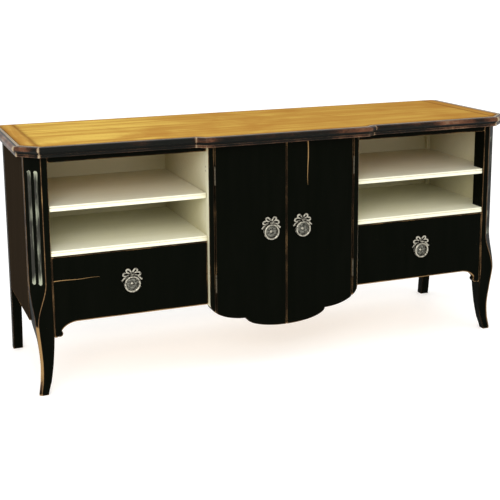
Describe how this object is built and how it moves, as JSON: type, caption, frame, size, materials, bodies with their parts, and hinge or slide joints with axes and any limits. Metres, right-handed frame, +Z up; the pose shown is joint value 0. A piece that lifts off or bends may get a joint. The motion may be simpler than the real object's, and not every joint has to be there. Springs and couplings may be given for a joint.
{
  "type": "television sideboard",
  "caption": "Black painted television sideboard with a cherry top, open niches with shelves, drawers, a scalloped centre cupboard, cabriole front legs and ribbon ring pulls.",
  "frame": {"origin": "on the floor, under the middle of the top", "axes": "+Z up, +X along the width to the right seen from the front, -Y out of the front"},
  "size_m": [1.588, 0.501, 0.72],
  "materials": {
    "cherry": "satin waxed",
    "cherry_band": "satin waxed",
    "black_paint": "satin black paint over wood, rubbed through at the edges",
    "cream_paint": "satin cream paint over wood",
    "bare_wood": "sanded, unfinished",
    "pewter": "antique silver plate, darkened in the hollows",
    "hinge_steel": "dark bronzed"
  },
  "bodies": {
    "cabinet": {"top_panel": "cherry", "top_band_left": "cherry_band", "top_band_right": "cherry_band", "moulding_right_end": "black_paint", "moulding_right_corner": "black_paint", "moulding_front_right": "black_paint", "moulding_front_centre": "black_paint", "moulding_front_left": "black_paint", "moulding_left_corner": "black_paint", "moulding_left_end": "black_paint", "back_panel": "cream_paint", "bottom_board": "cream_paint", "rail_left": "black_paint", "rail_right": "black_paint", "rail_centre": "black_paint", "cupboard_shelf": "cream_paint", "front_leg_left": "black_paint", "back_leg_left": "black_paint", "side_panel_left": "black_paint", "stile_left": "black_paint", "divider_left": "cream_paint", "niche_floor_left": "cream_paint", "shelf_left": "cream_paint", "drawer_guide_left": "bare_wood", "hinge_left_lower_stile_leaf": "hinge_steel", "hinge_left_upper_stile_leaf": "hinge_steel", "front_leg_right": "black_paint", "back_leg_right": "black_paint", "side_panel_right": "black_paint", "stile_right": "black_paint", "divider_right": "cream_paint", "niche_floor_right": "cream_paint", "shelf_right": "cream_paint", "drawer_guide_right": "bare_wood", "hinge_right_lower_stile_leaf": "hinge_steel", "hinge_right_upper_stile_leaf": "hinge_steel"},
    "door_left": {"door_left": "black_paint", "hinge_left_lower_door_leaf": "hinge_steel", "hinge_left_upper_door_leaf": "hinge_steel", "door_pull_left_plate": "pewter"},
    "drawer_left": {"drawer_left_front": "black_paint", "drawer_left_inner_side": "bare_wood", "drawer_left_outer_side": "bare_wood", "drawer_left_back": "bare_wood", "drawer_left_bottom": "bare_wood", "drawer_pull_left_plate": "pewter"},
    "door_ring_left": {"door_pull_left_ring": "pewter"},
    "drawer_ring_left": {"drawer_pull_left_ring": "pewter"},
    "door_right": {"door_right": "black_paint", "hinge_right_lower_door_leaf": "hinge_steel", "hinge_right_upper_door_leaf": "hinge_steel", "door_pull_right_plate": "pewter"},
    "drawer_right": {"drawer_right_front": "black_paint", "drawer_right_inner_side": "bare_wood", "drawer_right_outer_side": "bare_wood", "drawer_right_back": "bare_wood", "drawer_right_bottom": "bare_wood", "drawer_pull_right_plate": "pewter"},
    "door_ring_right": {"door_pull_right_ring": "pewter"},
    "drawer_ring_right": {"drawer_pull_right_ring": "pewter"}
  },
  "joints": [
    {"name": "door_left_hinge", "type": "hinge", "parent": "cabinet", "child": "door_left", "pos_m": [-0.2251, -0.2074, 0.4375], "axis": [0, 0, -1], "range_deg": [0, 85]},
    {"name": "drawer_left_slide", "type": "slide", "parent": "cabinet", "child": "drawer_left", "axis": [0, -1, 0], "range_m": [0, 0.28]},
    {"name": "door_ring_left_swing", "type": "hinge", "parent": "door_left", "child": "door_ring_left", "pos_m": [-0.0514, -0.21959, 0.4471], "axis": [-1, 0, 0], "range_deg": [0, 90]},
    {"name": "drawer_ring_left_swing", "type": "hinge", "parent": "drawer_left", "child": "drawer_ring_left", "pos_m": [-0.4766, -0.1982, 0.3301], "axis": [-1, 0, 0], "range_deg": [0, 90]},
    {"name": "door_right_hinge", "type": "hinge", "parent": "cabinet", "child": "door_right", "pos_m": [0.2251, -0.2074, 0.4375], "axis": [0, 0, 1], "range_deg": [0, 85]},
    {"name": "drawer_right_slide", "type": "slide", "parent": "cabinet", "child": "drawer_right", "axis": [0, -1, 0], "range_m": [0, 0.28]},
    {"name": "door_ring_right_swing", "type": "hinge", "parent": "door_right", "child": "door_ring_right", "pos_m": [0.0514, -0.21959, 0.4471], "axis": [-1, 0, 0], "range_deg": [0, 90]},
    {"name": "drawer_ring_right_swing", "type": "hinge", "parent": "drawer_right", "child": "drawer_ring_right", "pos_m": [0.4766, -0.1982, 0.3301], "axis": [-1, 0, 0], "range_deg": [0, 90]}
  ]
}
